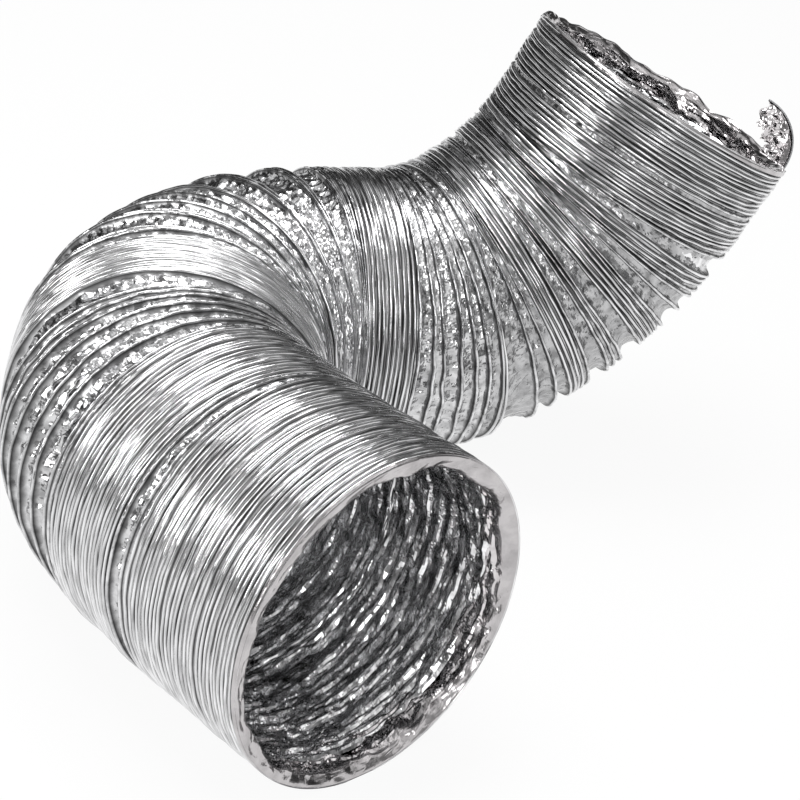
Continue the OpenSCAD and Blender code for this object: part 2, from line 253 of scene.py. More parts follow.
TORN_DEEP, TORN_REACH, TORN_AT = 5.0, 10.0, 195.0
TORN_WIDTH = 0.35  # lets it reach a little past a quarter of the rim on either side


def torn(s, angle):
    """Lengths near the rear mouth, pushed in where the far side of its rim is crushed."""
    side = np.clip(TORN_WIDTH + np.cos(angle - math.radians(TORN_AT)), 0, 1)
    ragged = 0.62 + 0.8 * ring_noise(angle, 40, 17, seed=71) + 0.5 * ring_noise(angle, 80, 43, seed=72)
    return s - TORN_DEEP * side * ragged * np.clip((s - LENGTH + TORN_REACH) / TORN_REACH, 0, 1)


# ---------------------------------------------------------------- turns of wire along the duct
def packed(first, last, count):
    """Places of `count` turns, evenly spaced from first to last."""
    return list(np.linspace(first, last, count))


# places of the turns along the centre line, by the pack or the zone of LINE that holds them; 28 of
# them are results of the scratch fit that also gave the camera, 8 stand 1.2 mm beside one (see
# report.md), and the rest are shared out between those or set by hand
GROUPS = [
    ("front_leg", packed(1.9, 74.3, 30)), ("entry", [76.8, 81.9]),
    ("bend_entry", packed(84.4, 127.4, 18)),
    ("first_fan", [129.9, 132.4, 140.5, 149.9, 158.9, 167.5, 172.6, 177.9]),
    ("bend_middle", packed(193.1, 229.5, 15)),
    ("second_fan", [232.1, 239.8, 242.2, 259.3, 261.7, 275.5, 287.5]), ("fan", [298.6]),
    ("third_fan", [318.6, 321.0, 343.6, 346.0, 360.8, 363.4, 366.1, 368.7]),
    ("bend_exit", packed(371.3, 395.1, 10)),
    ("lift", [397.7, 404.8, 409.8, 416.7, 422.0, 427.6]), ("lift", [434.9, 437.2]),
    ("first_riser", [454.8, 464.4]), ("riser_lower", packed(471.5, 479.7, 4)),
    ("second_riser", [482.4, 491.5, 494.9, 498.2]), ("riser_middle", packed(508.5, 516.3, 4)),
    ("third_riser", [518.9, 521.5, 530.0, 537.0, 540.0]), ("riser_upper", [543.0, 546.1, 549.1]),
    ("rear_bend", [558.1, 560.6]), ("rear_leg", packed(563.2, 578.3, 7)), ("rear_leg", [582.6]),
    ("rear_collar", packed(585.2, 610.8, 11))]
TURNS = np.array([t for _, group in GROUPS for t in group])
FIRST_TURN = np.cumsum([0] + [len(group) for _, group in GROUPS])
END_ROOM = 0.2
GAPS = np.diff(np.concatenate([[END_ROOM], TURNS, [LENGTH - END_ROOM]]))
# where packed turns part a little: place, width, angle round the duct in degrees, how far round
SPLITS = [(28.5, 1.1, 120, 1.5), (39.0, 0.7, 190, 2.5), (50.2, 1.6, 160, 1.0),
          (62.0, 0.8, 100, 2.5), (72.0, 1.0, 170, 0.8), (94.0, 0.9, 150, 2.0),
          (107.5, 1.0, 120, 1.5), (119.0, 0.8, 170, 2.0), (203.0, 0.8, 100, 1.5),
          (216.5, 0.9, 150, 2.0), (380.0, 1.0, 40, 1.5), (389.0, 0.8, 100, 1.5),
          (570.5, 0.9, 20, 1.2), (592.5, 0.8, 330, 1.5), (603.0, 0.9, 60, 1.5)]
SPLIT_FADE, SPLIT_UNEVEN = 7, 0.35


def wavy(count, seed, waves, falling):
    """One closed wavy line for each of `count` turns, about -1 to 1."""
    gen = np.random.default_rng(seed)
    out = np.zeros((count, COLUMNS))
    for w in waves:
        phase = gen.random((count, 1)) * 2 * np.pi
        out += gen.normal(0, 1, (count, 1)) * np.cos(w * ANGLES + phase) / w ** falling
    return out


def parting():
    """How far each turn is pushed along the duct by the splits between packed turns."""
    out = np.zeros((len(TURNS), COLUMNS))
    for at, width, angle, spread in SPLITS:
        away = TURNS[:, None] - at
        reach = toward(angle) ** spread
        reach = reach * (1 + SPLIT_UNEVEN * ring_noise(ANGLES, at, 9, seed=21, step=20.0))
        out += np.sign(away) * width / 2 * np.exp(-np.abs(away) / SPLIT_FADE) * reach
    return out


ROOM = np.minimum(GAPS[:-1], GAPS[1:])[:, None]  # the smaller gap beside each turn
DRIFT_SHARE, DRIFT_MOST = 0.15, 0.30  # of the room beside a turn: typical drift and its limit
SWELL_LOW, SWELL_HIGH, SWELL_SLOW = -0.45, 0.5, 0.7


def drift():
    """How far each turn wanders along the duct, within the room beside it."""
    slow = wavy(len(TURNS), 11, (1, 2, 3, 4, 5), 0.7)
    quick = wavy(len(TURNS), 12, (9, 13, 17, 23, 31), 0.25)
    wander = DRIFT_SHARE * np.clip(ROOM, 1.5, 5) * (slow * 0.6 + quick * 0.26)
    return np.clip(wander, -DRIFT_MOST * ROOM, DRIFT_MOST * ROOM) + parting()


def swell():
    """How far each turn stands out of the round, turn by turn and in long swells along the duct."""
    own = 0.16 * wavy(len(TURNS), 13, (2, 3, 5, 8), 0.5) + 0.10 * wavy(len(TURNS), 14, (15, 22, 30), 0.2)
    shared = noise(ANGLES + 0 * ROOM, TURNS[:, None] + 0 * ANGLES, around=5, step=19.0, seed=15)
    return np.clip(own, SWELL_LOW, SWELL_HIGH) + SWELL_SLOW * shared


DRIFT, SWELL = drift(), swell()


def turn_line(k):
    """Where turn k runs along the duct at each angle, and how far out it stands."""
    if k < 0:
        return np.full(COLUMNS, 0.0), np.zeros(COLUMNS)
    if k >= len(TURNS):
        return np.full(COLUMNS, LENGTH), np.zeros(COLUMNS)
    return TURNS[k] + DRIFT[k], SWELL[k]


# ---------------------------------------------------------------- outer skin
RIB = [(0.0, 0.0), (0.36, 0.07), (0.62, 0.42), (0.84, 1.15)]  # from the crest: how far along and down
RIB_FOOT = RIB[-1][0]
RIB_ROOM, RIB_LEAST = 2.2, 0.45  # closer turns squeeze their ribs, down to this share of the width
RIB_OPEN = 3  # the openness up to which ribs keep their width on the outer side of a bend
ROW_STEP = 1.2
WIDE_GAP, BESIDE_RIB = 3.4, 0.3  # wider gaps have one more row, this close to each rib
VALLEY, VALLEY_RISE, VALLEY_LEAST = 1.5, 0.25, 0.30  # depth, how much less at its ends, the least
SWING = 0.6  # how square the valley's section is
FOLD = 1.25  # height of the fold that packed foil makes between two ribs
FOLD_GONE, FOLD_FADE = 3.5, 0.7
# what grows with the distance between turns: for each mm more, from, at most
SAG = (0.42, 3.4, 4.0)
CREASES = (0.60, 2.4, 4.0)
SHIFT = (0.05, 2.5, 0.5)
CREASE_SIZE, CREASE_LEVEL = 0.88, 0.38
# painted shade: in grooves from this depth over this much more, gone where turns stand this far apart,
# and in deep sags
GROOVE_FROM, GROOVE_FADE = 0.38, 0.36
GROOVE_OPEN, GROOVE_OPEN_FADE = 4.0, 1.4
SAG_DARK, SAG_DARK_FROM, SAG_DARK_FADE = 0.14, 1.5, 2.5
CREASED_FROM = 3.1
RISER_SHADE_FROM, RISER_SHADE_FADE, RISER_SHADE = 425.0, 20, 0.36  # painted shade: the open foil of the rising bend is made greyer


def grown(room, rate, start, most):
    """Nothing up to a room of `start`, then `rate` for each mm more, at most `most`."""
    return np.clip(rate * (room - start), 0, most)


def gap_shares(k, gap):
    """Shares of the gap after turn k at which the skin has a row."""
    foot = RIB_FOOT / gap
    turn_before, turn_after = k >= 0, k + 1 < len(TURNS)
    low, high = foot if turn_before else 0.0, 1 - foot if turn_after else 1.0
    inner = max(3, int(round((gap - 2 * RIB_FOOT) / ROW_STEP)))
    shares = [along / gap for along, _ in RIB] if turn_before else [0.0]
    shares += [low + BESIDE_RIB / gap] if gap > WIDE_GAP else []
    shares += [low + (high - low) * (j + 1) / (inner + 1) for j in range(inner)]
    shares += [high - BESIDE_RIB / gap] if gap > WIDE_GAP else []
    shares += [1 - along / gap for along, _ in RIB[:0:-1]] if turn_after else [1.0]
    return shares


def rib_row(f, near, s0, s1, wide):
    """Place and depth of a row on the nearer turn's rib, `near` along from its crest."""
    drop = np.interp(near, [along for along, _ in RIB], [down for _, down in RIB]) + 0 * ANGLES
    near = near * np.clip((s1 - s0) / RIB_ROOM, RIB_LEAST, 1) / np.clip(wide, 1, RIB_OPEN)
    return s0 + near if f < 0.5 else s1 - near, drop


def valley_row(f, foot, s, local, turn):
    """Place and depth of a row between two ribs: one fold where packed, sagging creases where open."""
    swing = math.sin(math.pi * f) ** SWING
    middle = max(0.0, 1 - 4 * abs(f - 0.5) / max(1 - 2 * foot, 0.1))
    fold = middle * np.clip((FOLD_GONE - local) / FOLD_FADE, 0, 1)
    uneven = np.clip(0.82 + 0.9 * noise(ANGLES, 0 * s + turn, around=11, step=1.9, seed=57), 0.1, 1)
    drop = VALLEY - VALLEY_RISE + VALLEY_RISE * swing
    drop = drop - FOLD * fold * uneven
    drop = drop + grown(local, *SAG) * swing
    drop = drop + grown(local, *CREASES) * (crumple(ANGLES, s, 101, CREASE_SIZE) - CREASE_LEVEL)
    return s + grown(local, *SHIFT) * noise(ANGLES, s, around=90, step=6.0, seed=55), drop


def row_shadow(drop, local, s, on_rib, opened):
    """Painted shade on the foil there: in grooves of packed foil, in deep sags and on the open foil of
    the rising bend.
    """
    closed = np.clip((GROOVE_OPEN - local) / GROOVE_OPEN_FADE, 1 if on_rib else 0, 1)
    dark = np.clip((drop - GROOVE_FROM) / GROOVE_FADE, 0, 1) * closed
    dark = np.maximum(dark, SAG_DARK * np.clip((drop - SAG_DARK_FROM) / SAG_DARK_FADE, 0, 1))
    # painted shade: the open foil of the rising bend is made greyer
    return np.maximum(dark, np.clip((s - RISER_SHADE_FROM) / RISER_SHADE_FADE, 0, RISER_SHADE) * opened)


def skin_surface():
    """The outer skin row by row: turn before it and share of the gap, place, radius, shadow, open."""
    tags, rows = [], []
    for k in range(-1, len(TURNS)):
        gap = (TURNS[k + 1] if k + 1 < len(TURNS) else LENGTH) - (TURNS[k] if k >= 0 else 0.0)
        s0, w0 = turn_line(k)
        s1, w1 = turn_line(k + 1)
        for f in gap_shares(k, gap):
            near = min(f, 1 - f) * gap
            on_rib = near <= RIB_FOOT + 1e-6
            s = s0 * (1 - f) + s1 * f
            wide = openness(s, ANGLES)
            local = np.maximum((s1 - s0) * wide, 0)
            if on_rib:
                out = w0 if f < 0.5 else w1
                s, drop = rib_row(f, near, s0, s1, wide)
            else:
                out = w0 * (1 - f) + w1 * f
                s, drop = valley_row(f, RIB_FOOT / gap, s, local, TURNS[k])
            opened = (local > CREASED_FROM) & (not on_rib)
            radius = CREST_R - np.maximum(drop, 0 if on_rib else VALLEY_LEAST) + out
            tags.append((k, f))
            rows.append((s, radius, row_shadow(drop, local, s, on_rib, opened), opened))
    return tags, *[np.array(column) for column in zip(*rows)]


SKIN_TAGS, SKIN_S, SKIN_R, SKIN_SHADOW, SKIN_OPEN = skin_surface()


def row_between(k, end):
    """The skin row after turn k where a piece ends: its start, the middle or its end."""
    rows = [i for i, (turn, _) in enumerate(SKIN_TAGS) if turn == k]
    low = len(RIB) if k >= 0 else 1
    high = len(rows) - (len(RIB) - 1 if k + 1 < len(TURNS) else 1) - 1
    return rows[{"start": low, "middle": (low + high) // 2, "end": high}[end]]


# ---------------------------------------------------------------- meshes
DASH_ROUND, DASH_ALONG = 6, 0.9  # cells of the long dashes: far apart round the duct, close along it


def grid_faces(rows, columns):
    """Faces of a tube whose points lie row by row."""
    a = np.arange(rows - 1)[:, None] * columns + np.arange(columns)
    b = np.arange(rows - 1)[:, None] * columns + (np.arange(columns) + 1) % columns
    return np.stack([a, b, b + columns, a + columns], -1).reshape(-1, 4)


def make_mesh(name, points, faces, smooth=True):
    """A mesh of points in mm and faces of four corners; smooth tells which faces are shaded round."""
    mesh = bpy.data.meshes.new(name)
    mesh.from_pydata((np.asarray(points).reshape(-1, 3) * MM).tolist(), [], np.asarray(faces).tolist())
    mesh.polygons.foreach_set("use_smooth", np.zeros(len(mesh.polygons), bool) | np.ravel(smooth))
    mesh.update()
    piece = bpy.data.objects.new(name, mesh)
    bpy.context.scene.collection.objects.link(piece)
    return piece


def remember(piece, name, values, kind="FLOAT_VECTOR"):
    """Keeps a value for each point of the mesh, for the materials."""
    layer = piece.data.attributes.new(name, kind, "POINT")
    field = "vector" if kind == "FLOAT_VECTOR" else "value"
    layer.data.foreach_set(field, np.asarray(values, np.float32).ravel())


def tube_piece(name, s, angle, r, shadow=None, creased=None):
    """A piece of tube whose points lie at length s, that angle and radius r of the straightened duct.

    Faces between creased points are shaded flat, as folded foil is.
    """
    angle = angle + 0 * s
    points = bent(torn(s, angle), r * np.cos(angle), r * np.sin(angle))
    points[..., 2] = np.maximum(points[..., 2], FLOOR_Z)
    creased = np.ones(s.shape, bool) if creased is None else creased
    piece = make_mesh(name, points, grid_faces(*s.shape), ~(creased[:-1] & creased[1:]))
    remember(piece, "straight_at", np.stack([r * np.cos(angle), s, r * np.sin(angle)], -1) * MM)
    dashes = [DASH_ROUND * np.cos(angle), s * DASH_ALONG, DASH_ROUND * np.sin(angle)]
    remember(piece, "coil_at", np.stack(dashes, -1))
    remember(piece, "groove_shadow", shadow if shadow is not None else 0 * s, "FLOAT")
    return piece


def dress(piece, material, body=None, stands_for=()):
    """Gives a piece its material and slot, the body it rides on and the CAD nodes it stands for."""
    piece.data.materials.append(material)
    if body:
        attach(piece, body)
    if stands_for:
        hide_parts(*stands_for)
    return piece


def ring_at(s):
    """Centre and travel direction of the duct at length s, in mm."""
    part = LINE[int(part_at(s))]
    way = part["axes"][1]
    if part["bend"] > 0:
        way = turned(way, part["axis"], np.array([part["bend"] * (s - part["s"]) / part["length"]]))[0]
    return bent(np.array([s]), np.zeros(1), np.zeros(1))[0], way


LEAST_SHARE = 0.04


def follow(piece, share, at):
    """Bakes the piece's place into its mesh; a blend for the share of the zone's joint and the ring at
    `at` are worked out but not applied.
    """
    blend_at = 0.5 - math.sin(math.asin(1 - 2 * min(max(share, 0.0), 1.0)) / 3)
    blend_at = min(max(blend_at, LEAST_SHARE), 1 - LEAST_SHARE)
    centre, way = ring_at(at)
    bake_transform(piece)


# ---------------------------------------------------------------- materials
GROOVE_DARKENS, GROOVE_ROUGHENS = 0.93, 0.4  # what full groove shadow takes off the tone and adds
TONE_FROM, TONE_TO = 0.3, 0.62  # where the mottled tone starts and ends in its noise
SMOOTHEST, ROUGHEST = 0.7, 1.4  # of a foil's roughness


def node_material(name):
    """A material with its nodes, links and main shader."""
    material = bpy.data.materials.new(name)
    material.use_nodes = True
    nodes, links = material.node_tree.nodes, material.node_tree.links
    return material, nodes, links, nodes["Principled BSDF"]


def add_node(nodes, kind, operation=None, **inputs):
    """A new node; to_min=2 sets its input called To Min."""
    made = nodes.new(kind)
    if operation:
        made.operation = operation
    for key, value in inputs.items():
        made.inputs[key.replace("_", " ").title()].default_value = value
    return made


def add_ramp(nodes, stops):
    """A colour ramp through stops of position and colour."""
    made = nodes.new("ShaderNodeValToRGB")
    for at, _ in stops[1:-1]:
        made.color_ramp.elements.new(at)
    for element, (at, colour) in zip(made.color_ramp.elements, stops):
        element.position = at
        element.color = (*colour, 1)
    return made


def add_attribute(nodes, of):
    """A value that tube_piece remembered for each point."""
    made = nodes.new("ShaderNodeAttribute")
    made.attribute_name = of
    return made


def tilted(nodes, links, normal, kind, source, scale, tilt):
    """The normal, tilted by up to half of `tilt` each way in every cell of a texture."""
    cells = add_node(nodes, kind, scale=scale)
    links.new(source.outputs["Vector"], cells.inputs["Vector"])
    centred = add_node(nodes, "ShaderNodeVectorMath", "SUBTRACT")
    centred.inputs[1].default_value = (0.5, 0.5, 0.5)
    links.new(cells.outputs["Color"], centred.inputs[0])
    scaled = add_node(nodes, "ShaderNodeVectorMath", "SCALE", scale=tilt)
    links.new(centred.outputs[0], scaled.inputs[0])
    added = add_node(nodes, "ShaderNodeVectorMath", "ADD")
    links.new(normal, added.inputs[0])
    links.new(scaled.outputs[0], added.inputs[1])
    return added.outputs[0]


def foil(name, colour, roughness, facet_mm, facet_tilt, dash_tilt, dark, streaked=False):
    """Aluminium foil: facets and long dashes that tilt their own way, a mottled tone, painted shade in
    the grooves.
    """
    material, nodes, links, shader = node_material(name)
    shader.inputs["Metallic"].default_value = 1.0
    place, coil = add_attribute(nodes, "straight_at"), add_attribute(nodes, "coil_at")
    shadow = add_attribute(nodes, "groove_shadow")
    normal = nodes.new("ShaderNodeNewGeometry").outputs["Normal"]
    tilts = [("ShaderNodeTexVoronoi", place, 1000 / facet_mm, facet_tilt),
             ("ShaderNodeTexVoronoi", place, 2500 / facet_mm, facet_tilt * 0.5),
             ("ShaderNodeTexNoise", coil, 1.0, dash_tilt)]
    for kind, source, scale, tilt in tilts:
        if tilt > 0:
            normal = tilted(nodes, links, normal, kind, source, scale, tilt)
    unit = add_node(nodes, "ShaderNodeVectorMath", "NORMALIZE")
    links.new(normal, unit.inputs[0])
    links.new(unit.outputs[0], shader.inputs["Normal"])
    cloud = add_node(nodes, "ShaderNodeTexNoise", scale=0.8 if streaked else 600 / facet_mm, detail=4)
    links.new((coil if streaked else place).outputs["Vector"], cloud.inputs["Vector"])
    tone = add_ramp(nodes, [(TONE_FROM, [c * dark for c in colour]), (TONE_TO, colour)])
    links.new(cloud.outputs["Fac"], tone.inputs["Fac"])
    # painted shade: the groove_shadow attribute darkens the tone and roughens the foil
    left = add_node(nodes, "ShaderNodeMath", "MULTIPLY_ADD")
    left.inputs[1].default_value, left.inputs[2].default_value = -GROOVE_DARKENS, 1.0
    links.new(shadow.outputs["Fac"], left.inputs[0])
    toned = add_node(nodes, "ShaderNodeVectorMath", "SCALE")
    links.new(tone.outputs["Color"], toned.inputs[0])
    links.new(left.outputs[0], toned.inputs["Scale"])
    links.new(toned.outputs[0], shader.inputs["Base Color"])
    rough = add_node(nodes, "ShaderNodeMapRange",
                     to_min=roughness * SMOOTHEST, to_max=roughness * ROUGHEST)
    links.new(cloud.outputs["Fac"], rough.inputs["Value"])
    dull = add_node(nodes, "ShaderNodeMath", "MULTIPLY_ADD")
    dull.inputs[1].default_value = GROOVE_ROUGHENS
    links.new(shadow.outputs["Fac"], dull.inputs[0])
    links.new(rough.outputs["Result"], dull.inputs[2])
    links.new(dull.outputs[0], shader.inputs["Roughness"])
    return material


def steel():
    """Grey spring wire with a fine grain."""
    material, nodes, links, shader = node_material("spring_steel")
    shader.inputs["Metallic"].default_value = 1.0
    shader.inputs["Roughness"].default_value = 0.32
    grain = add_node(nodes, "ShaderNodeTexNoise", scale=400)
    tone = add_ramp(nodes, [(0, (0.32, 0.32, 0.33)), (1, (0.52, 0.52, 0.53))])
    links.new(grain.outputs["Fac"], tone.inputs["Fac"])
    links.new(tone.outputs["Color"], shader.inputs["Base Color"])
    return material


OUTER_FOIL = foil("outer_foil", (0.90, 0.90, 0.91), roughness=0.12, facet_mm=6.0, facet_tilt=0.03,
                  dash_tilt=0.50, dark=0.50, streaked=True)
PLEAT_FOIL = foil("pleat_foil", (0.84, 0.84, 0.85), roughness=0.08, facet_mm=4.0, facet_tilt=0.24,
                  dash_tilt=0.20, dark=0.46)
LINING_FOIL = foil("lining_foil", (0.95, 0.95, 0.96), roughness=0.07, facet_mm=5.0, facet_tilt=0.08,
                   dash_tilt=0.0, dark=0.42)
HEM_FOIL = foil("hem_foil", (0.58, 0.56, 0.565), roughness=0.17, facet_mm=6.0, facet_tilt=0.10,
                dash_tilt=0.0, dark=0.72)
STEEL = steel()


# ---------------------------------------------------------------- wire
WIRE_STEPS, WIRE_SIDES = 112, 6
WIRE_UNDER = 1.1  # its centre lies this far under the crest of the rib
PASS_SHARE, PASS_DEEP = 0.16, 1.6  # the end of each turn that passes on, and how far in it dips
STRAIGHT_CROSS = 200  # the side at which it passes on in a straight length, in degrees


def wire_turns(first, last, cross_at):
    """One unbroken wire under the ribs of turns first to last; it passes to the next rib at one side."""
    share = np.arange((last - first + 1) * WIRE_STEPS + 1) / WIRE_STEPS
    turn = np.minimum(share.astype(int), last - first) + first
    share = share - (turn - first)
    angle = cross_at + 2 * np.pi * share
    column = np.round(angle / (2 * np.pi) * COLUMNS).astype(int) % COLUMNS
    following = np.minimum(turn + 1, len(TURNS) - 1)
    pass_on = np.clip((share - (1 - PASS_SHARE)) / PASS_SHARE, 0, 1)
    moved = pass_on ** 2 * (3 - 2 * pass_on)
    here, there = TURNS[turn] + DRIFT[turn, column], TURNS[following] + DRIFT[following, column]
    dip = PASS_DEEP * np.sin(np.pi * pass_on) ** 2 * (following > turn)
    return here * (1 - moved) + there * moved, angle, CREST_R - WIRE_UNDER + SWELL[turn, column] - dip


def wire_piece(name, s, angle, r):
    """A round wire along lengths, angles and radii of the straightened duct."""
    s = torn(s, angle)
    centre = bent(s, r * np.cos(angle), r * np.sin(angle))
    ahead = np.gradient(centre, axis=0)
    ahead /= np.linalg.norm(ahead, axis=1)[:, None]
    out = centre - bent(s, 0 * s, 0 * s)
    out -= ahead * (out * ahead).sum(1)[:, None]
    out /= np.linalg.norm(out, axis=1)[:, None]
    across = np.cross(ahead, out)
    turn = round_angles(WIRE_SIDES)[:, None]
    ring = out[:, None] * np.cos(turn) + across[:, None] * np.sin(turn)
    return make_mesh(name, centre[:, None] + WIRE_THICK / 2 * ring, grid_faces(len(s), WIRE_SIDES))


# ---------------------------------------------------------------- pieces of the skin
TUCKED_ROWS, TUCK = 2, 0.3


def skin_piece(name, first, last, short=False):
    """Rows first to last of the skin; two more rows are tucked in under the next piece."""
    rows = np.arange(first, min(last + TUCKED_ROWS + 1, len(SKIN_TAGS)))
    tuck = np.clip(rows - last, 0, TUCKED_ROWS)[:, None]
    s, r = SKIN_S[rows], SKIN_R[rows] - TUCK * tuck
    if short:
        s = np.where(tuck > 0, SKIN_S[last] + TUCK * tuck, s)
        r = np.where(tuck > 0, SKIN_R[last] - TUCK * tuck, r)
    return tube_piece(name, s, ANGLES, r, SKIN_SHADOW[rows], SKIN_OPEN[rows])


def packed_side(part):
    """The angle round the duct at which a bend is packed closed."""
    side, _, up = part["axes"]
    if part["bend"] == 0:
        return math.radians(STRAIGHT_CROSS)
    return math.atan2(part["inward"] @ up, part["inward"] @ side)


def add_pack(name, g, first, last):
    """Outer skin and coil of the pack of turns first to last, which is part g of LINE."""
    start = 0 if g == 0 else row_between(first - 1, "end")
    stop = len(SKIN_TAGS) - 1 if g == len(LINE) - 1 else row_between(last, "start")
    skin = skin_piece(f"{name}_skin", start, stop, short=True)
    dress(skin, OUTER_FOIL, name, [f"{name}_outer_foil"])
    cross_at = packed_side(LINE[min(g + 1, len(LINE) - 1)])
    coil = wire_piece(f"{name}_coil", *wire_turns(first, last, cross_at))
    dress(coil, STEEL, name, [f"{name}_wire"])


def add_straight_pleat(name, low, high):
    """The loose pleat of a slide, from skin row low to row high, as one piece."""
    s_low, s_high = SKIN_S[low].mean(), SKIN_S[high].mean()
    piece = skin_piece(f"{name}_pleat_skin", low, high)
    dress(piece, PLEAT_FOIL, None, [f"{name}_pleat"])
    follow(piece, 0.5, (s_low + s_high) / 2)


def add_bent_pleat(name, part, first, last, low, high):
    """The open pleat of a hinge, turn by turn: a piece of skin and, where it has one, a free wire."""
    s_low, s_high = SKIN_S[low].mean(), SKIN_S[high].mean()
    room = s_high - s_low
    open_room = room if name == "entry" else room * widest(s_low, s_high)
    for k in range(first, last + 1):
        start = low if k == first else row_between(k - 1, "middle")
        stop = high if k == last else row_between(k, "middle")
        share = (TURNS[k] - s_low) / room
        piece = skin_piece(f"{name}_pleat_skin_{k - first + 1}", start, stop)
        dress(piece, PLEAT_FOIL, None, [f"{name}_pleat"])
        follow(piece, share, TURNS[k])
        if name in FREE_WIRES:
            turn = wire_turns(k, k, packed_side(part))
            wire = wire_piece(f"{name}_free_turn_{k - first + 1}", *turn)
            dress(wire, STEEL, None, [f"{name}_free_wire"])
            follow(wire, share, TURNS[k])


def add_skin_and_wire():
    """Packs and zones in turn along the duct."""
    for g, (name, turns) in enumerate(GROUPS):
        first = int(FIRST_TURN[g])
        last = first + len(turns) - 1
        if g % 2 == 0:
            add_pack(name, g, first, last)
            continue
        low, high = row_between(first - 1, "start"), row_between(last, "end")
        if LINE[g]["bend"] == 0:
            add_straight_pleat(name, low, high)
        else:
            add_bent_pleat(name, LINE[g], first, last, low, high)


# ---------------------------------------------------------------- lining
LINING_ANGLES = round_angles(384)
# measured from the mouths: where the lining starts, where it stops, and where its folds fade in
LINING_FROM, LINING_TO, LINING_FLAT = 13.0, 12.9, 12.0
LINING_STEP, LINING_OUT, LINING_TWIST = 0.9, 0.5, 0.006
PACK_OVER, PLEAT_OVER = 0.2, 1.2  # how far the pieces reach over each other
LINED_ZONES = {"entry": 2, "first_fan": 8, "rear_bend": 2, "rear_leg": 1}  # pieces in each
LINING_SLOW = 1.5


def lining_surface():
    """Place and radius of every point of the crumpled lining, row by row."""
    s = np.arange(LINING_FROM, LENGTH - LINING_TO, LINING_STEP)[:, None] + 0 * LINING_ANGLES
    angle = LINING_ANGLES + 0 * s
    long_folds = facets(angle + LINING_TWIST * s, s, around=36, step=2.1, seed=311)
    small = facets(angle, s, around=90, step=2.3, seed=315)
    dents = facets(angle, s, around=26, step=14.0, seed=319)
    inward = 2.3 * long_folds + 1.0 * small + 1.6 * dents
    fade = np.clip(np.minimum(s - LINING_FLAT, LENGTH - LINING_FLAT - s) / 3, 0.25, 1)
    shift = 0.6 * noise(angle, s, around=60, step=7.0, seed=323)
    return s + shift, BORE_R + LINING_OUT - inward * fade


LINING_S, LINING_R = lining_surface()


def lining_piece(name, start, stop, over):
    """The lining from start to stop, and `over` more at both ends."""
    middle = LINING_S.mean(1)
    rows = np.nonzero((middle >= start - over) & (middle <= stop + over))[0]
    return tube_piece(name, LINING_S[rows], LINING_ANGLES, LINING_R[rows])


def add_lining():
    """The lining of every pack, and of the zones that are seen through the mouths."""
    for g, part in enumerate(LINE):
        name, start, stop = part["name"], part["s"], part["s"] + part["length"]
        if g % 2 == 0:
            piece = lining_piece(f"{name}_lining", start, stop, PACK_OVER)
            dress(piece, LINING_FOIL, name, [f"{name}_inner_foil"])
        elif name in LINED_ZONES:
            count = LINED_ZONES[name]
            room = part["length"] * (widest(start, stop) if part["bend"] > 0 else LINING_SLOW)
            for j in range(count):
                a, b = start + (stop - start) * j / count, start + (stop - start) * (j + 1) / count
                piece = lining_piece(f"{name}_pleat_lining_{j + 1}", a, b, PLEAT_OVER)
                dress(piece, LINING_FOIL)
                follow(piece, (j + 0.5) / count, (a + b) / 2)


# ---------------------------------------------------------------- hems
# from over the end turn, round the lip, in over the mouth and back into the bore: depth and radius
HEM = [(2.4, 78.85), (1.3, 78.8), (0.5, 78.45), (0.1, 77.9), (0.0, 77.2), (0.2, 76.1),
       (0.6, 75.0), (1.0, 73.9), (1.5, 72.8), (2.1, 71.8), (3.0, 71.0), (4.3, 70.6), (5.8, 70.6),
       (7.5, 70.8), (9.3, 71.1), (11.1, 71.4), (13.0, 71.8), (15.0, 72.2), (17.0, 72.6),
       (19.0, 73.1), (21.0, 73.7), (23.0, 74.4)]
HEM_ROWS, HEM_ROW = 40, 1.2
HEM_LIMIT_R = 78.9
HEM_TURN_R, HEM_FRONT_TURN, HEM_REAR_TURN = 78.0, 8, 4  # turned in from here over this much radius
HEM_DEEP, HEM_DEEP_FADE, HEM_BRIGHTER = 3, 4, 0.38  # the part in the bore, and how much paler it is
HEM_EDGE_R, HEM_WAVE = 77.5, 4.6


def hem_piece(name, seed, rear, rough_at):
    """A hem folded in over a mouth, flat on one side and crumpled towards the angle rough_at."""
    at = np.linspace(0, len(HEM) - 1, HEM_ROWS)[:, None] + 0 * ANGLES
    depth, radius = [np.interp(at, range(len(HEM)), values) for values in zip(*HEM)]
    along = at * HEM_ROW + 100
    angle = ANGLES + 0 * along
    rough = 0.40 + 0.60 * toward(rough_at) ** 0.9
    inward = np.clip((HEM_TURN_R - radius) / (HEM_REAR_TURN if rear else HEM_FRONT_TURN), 0, 1)
    edge = 1.6 * ring_noise(angle, 20, 15, seed) + 0.9 * ring_noise(angle, 50, 47, seed + 1)
    waves = (0.62 * facets(angle, along, around=44, step=6.5, seed=seed + 2)
             + 0.38 * facets(angle, along, around=100, step=3.4, seed=seed + 3) - 0.45)
    deep = np.clip((depth - HEM_DEEP) / HEM_DEEP_FADE, 0, 1)
    folded = 2.0 + 3.8 * deep
    creases = facets(angle, along, around=46, step=4.8, seed=seed + 5) - 0.5
    radius = radius + 3.2 * inward * np.clip(2 * rough - 1.1, 0, 1)
    radius = radius + inward * (edge + folded * rough * creases)
    folds = (2.2 * facets(angle, depth, around=36, step=2.1, seed=seed + 7)
             + 1.0 * facets(angle, depth, around=90, step=2.3, seed=seed + 8))
    radius = radius + 1.8 * deep * (1 - rough) + deep * (1.4 - folds)
    depth = depth + np.clip((HEM_EDGE_R - radius) / 2, 0, 1) * HEM_WAVE * rough * waves
    s = LENGTH - np.maximum(depth, 0) if rear else np.maximum(depth, 0)
    piece = tube_piece(name, s, ANGLES, np.minimum(radius, HEM_LIMIT_R), -HEM_BRIGHTER * deep)
    if rear:
        piece.data.flip_normals()
    return piece


